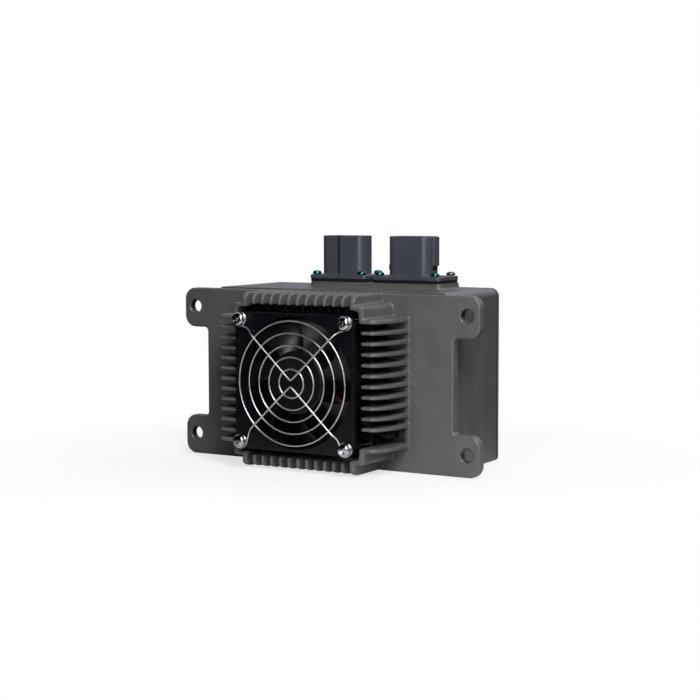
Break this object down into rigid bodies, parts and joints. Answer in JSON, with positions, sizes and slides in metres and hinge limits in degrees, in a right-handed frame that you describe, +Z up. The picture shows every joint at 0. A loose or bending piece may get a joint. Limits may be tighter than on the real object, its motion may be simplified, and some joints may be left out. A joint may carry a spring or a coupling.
{
  "type": "battery charger",
  "caption": "Sealed finned-case battery charger with a guarded cooling fan on its front, a flange with mounting ears and separate input and output sockets on top",
  "frame": {"origin": "on the flat bottom face, below the middle of the mounting flange's rear face", "axes": "+X to the right seen from the fan side, +Y from the fan towards the rear cover, +Z up; the fan's axis lies along Y"},
  "size_m": [0.204, 0.1101, 0.1351],
  "materials": {
    "board_screw_1": "dark zinc",
    "board_screw_2": "dark zinc",
    "board_screw_3": "dark zinc",
    "board_screw_4": "dark zinc",
    "core_half_front": "matte dark ferrite",
    "core_half_rear": "matte dark ferrite",
    "cover_gasket": "matte black",
    "cover_screw_1": "dark zinc",
    "cover_screw_2": "dark zinc",
    "cover_screw_3": "dark zinc",
    "cover_screw_4": "dark zinc",
    "cover_screw_5": "dark zinc",
    "cover_screw_6": "dark zinc",
    "fan_bearing_front": "bright",
    "fan_bearing_rear": "bright",
    "fan_circuit_board": "green solder mask",
    "fan_frame": "glossy black",
    "fan_impeller": "glossy black",
    "fan_lead_black": "black insulation",
    "fan_lead_red": "red insulation",
    "fan_magnet": "matte dark ferrite",
    "fan_screw_1": "bright plated steel",
    "fan_screw_2": "bright plated steel",
    "fan_screw_3": "bright plated steel",
    "fan_screw_4": "bright plated steel",
    "fan_shaft": "ground bright",
    "fan_stator": "enamelled copper wire",
    "fan_washer_1": "bright plated steel",
    "fan_washer_2": "bright plated steel",
    "fan_washer_3": "bright plated steel",
    "fan_washer_4": "bright plated steel",
    "fan_yoke": "dark zinc",
    "filter_choke": "enamelled copper wire",
    "finger_guard": "bright plated wire",
    "housing": "satin olive-grey coating on an aluminium die casting",
    "input_gasket": "matte black",
    "input_pin_1": "tin plating",
    "input_pin_2": "tin plating",
    "input_pin_3": "tin plating",
    "input_screw_1": "blue-green zinc plating",
    "input_screw_2": "blue-green zinc plating",
    "input_screw_3": "blue-green zinc plating",
    "input_screw_4": "blue-green zinc plating",
    "input_socket": "satin slate blue-grey",
    "lead_grommet": "matte black",
    "main_board": "green solder mask",
    "output_gasket": "matte black",
    "output_pin_1": "tin plating",
    "output_pin_2": "tin plating",
    "output_screw_1": "blue-green zinc plating",
    "output_screw_2": "blue-green zinc plating",
    "output_screw_3": "blue-green zinc plating",
    "output_screw_4": "blue-green zinc plating",
    "output_socket": "satin slate blue-grey",
    "power_transistor_1": "black epoxy",
    "power_transistor_2": "black epoxy",
    "rear_cover": "satin olive-grey coating",
    "smoothing_capacitor_1": "dark blue sleeve",
    "smoothing_capacitor_2": "dark blue sleeve",
    "transformer_winding": "enamelled copper wire"
  },
  "bodies": {
    "charger": {"board_screw_1": "board_screw_1", "board_screw_2": "board_screw_2", "board_screw_3": "board_screw_3", "board_screw_4": "board_screw_4", "core_half_front": "core_half_front", "core_half_rear": "core_half_rear", "cover_gasket": "cover_gasket", "cover_screw_1": "cover_screw_1", "cover_screw_2": "cover_screw_2", "cover_screw_3": "cover_screw_3", "cover_screw_4": "cover_screw_4", "cover_screw_5": "cover_screw_5", "cover_screw_6": "cover_screw_6", "fan_bearing_front": "fan_bearing_front", "fan_bearing_rear": "fan_bearing_rear", "fan_circuit_board": "fan_circuit_board", "fan_frame": "fan_frame", "fan_lead_black": "fan_lead_black", "fan_lead_red": "fan_lead_red", "fan_screw_1": "fan_screw_1", "fan_screw_2": "fan_screw_2", "fan_screw_3": "fan_screw_3", "fan_screw_4": "fan_screw_4", "fan_stator": "fan_stator", "fan_washer_1": "fan_washer_1", "fan_washer_2": "fan_washer_2", "fan_washer_3": "fan_washer_3", "fan_washer_4": "fan_washer_4", "filter_choke": "filter_choke", "finger_guard": "finger_guard", "housing": "housing", "input_gasket": "input_gasket", "input_pin_1": "input_pin_1", "input_pin_2": "input_pin_2", "input_pin_3": "input_pin_3", "input_screw_1": "input_screw_1", "input_screw_2": "input_screw_2", "input_screw_3": "input_screw_3", "input_screw_4": "input_screw_4", "input_socket": "input_socket", "lead_grommet": "lead_grommet", "main_board": "main_board", "output_gasket": "output_gasket", "output_pin_1": "output_pin_1", "output_pin_2": "output_pin_2", "output_screw_1": "output_screw_1", "output_screw_2": "output_screw_2", "output_screw_3": "output_screw_3", "output_screw_4": "output_screw_4", "output_socket": "output_socket", "power_transistor_1": "power_transistor_1", "power_transistor_2": "power_transistor_2", "rear_cover": "rear_cover", "smoothing_capacitor_1": "smoothing_capacitor_1", "smoothing_capacitor_2": "smoothing_capacitor_2", "transformer_winding": "transformer_winding"},
    "rotor": {"fan_impeller": "fan_impeller", "fan_shaft": "fan_shaft", "fan_yoke": "fan_yoke", "fan_magnet": "fan_magnet"}
  },
  "joints": [
    {"name": "fan_spin", "type": "hinge", "parent": "charger", "child": "rotor", "pos_m": [0, -0.0148, 0.0521], "axis": [0, 1, 0], "continuous": true}
  ]
}
